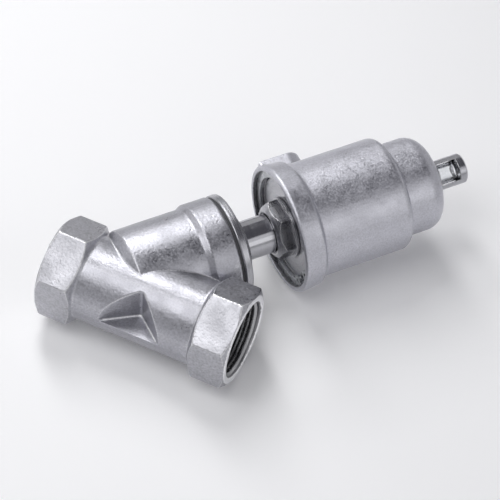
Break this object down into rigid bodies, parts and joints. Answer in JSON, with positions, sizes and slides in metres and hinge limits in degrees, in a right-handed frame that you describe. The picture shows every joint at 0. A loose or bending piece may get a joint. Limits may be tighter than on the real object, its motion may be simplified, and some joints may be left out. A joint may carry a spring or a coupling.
{
  "type": "angle seat valve with piston actuator",
  "caption": "Stainless angle seat valve: threaded hexagon ends, slanted neck with bonnet, stem tube, and a swivelling sprung piston actuator with a sight cage for the opening.",
  "frame": {"origin": "centre of the inlet thread's outer end, on the pipe axis, 1.2 mm inside the mouth", "axes": "+X along the pipe from inlet to outlet, +Y in the plane of pipe and neck towards the actuator, +Z square to that plane, up as the valve lies"},
  "size_m": [0.1755, 0.1915, 0.0724],
  "materials": {
    "cast_steel": "satin, finely blasted casting",
    "turned_steel": "bright turned",
    "pressed_steel": "satin",
    "spring_steel": "satin wire",
    "seal_rubber": "matt",
    "seal_plastic": "matt, off-white",
    "bush_bronze": "satin",
    "clear_plastic": "clear",
    "indicator_plastic": "plain red"
  },
  "bodies": {
    "valve": {"valve_body": "cast_steel", "body_gasket": "seal_plastic", "bonnet": "turned_steel", "scraper_ring": "seal_plastic", "packing_rings": "seal_plastic", "packing_washer": "turned_steel", "packing_spring": "spring_steel", "stem_tube": "turned_steel", "hex_adapter": "turned_steel", "guide_bush": "bush_bronze", "stem_seal": "seal_rubber", "adapter_clip": "spring_steel"},
    "actuator": {"base_plate": "turned_steel", "plate_seal": "seal_rubber", "swivel_seal": "seal_rubber", "retaining_ring": "spring_steel", "actuator_housing": "pressed_steel", "return_spring": "spring_steel", "spring_seat": "turned_steel", "indicator_cage": "turned_steel", "indicator_window": "clear_plastic", "indicator_seal": "seal_rubber"},
    "stem": {"stem": "turned_steel", "plug_holder": "turned_steel", "plug_pin": "spring_steel", "seat_seal": "seal_plastic", "seal_washer": "turned_steel", "plug_nut": "turned_steel", "piston": "turned_steel", "piston_seal": "seal_rubber", "piston_guide_ring": "seal_plastic", "piston_washer": "turned_steel", "piston_nut": "turned_steel", "indicator_rod": "indicator_plastic"}
  },
  "joints": [
    {"name": "stem_lift", "type": "slide", "parent": "valve", "child": "stem", "axis": [0.6428, 0.766, 0], "range_m": [0, 0.014], "stiffness_N_per_m": 6000, "springref_m": -0.012, "deforming": ["return_spring"]},
    {"name": "actuator_swivel", "type": "hinge", "parent": "valve", "child": "actuator", "pos_m": [0.0328, 0, 0], "axis": [0.6428, 0.766, 0], "continuous": true}
  ]
}
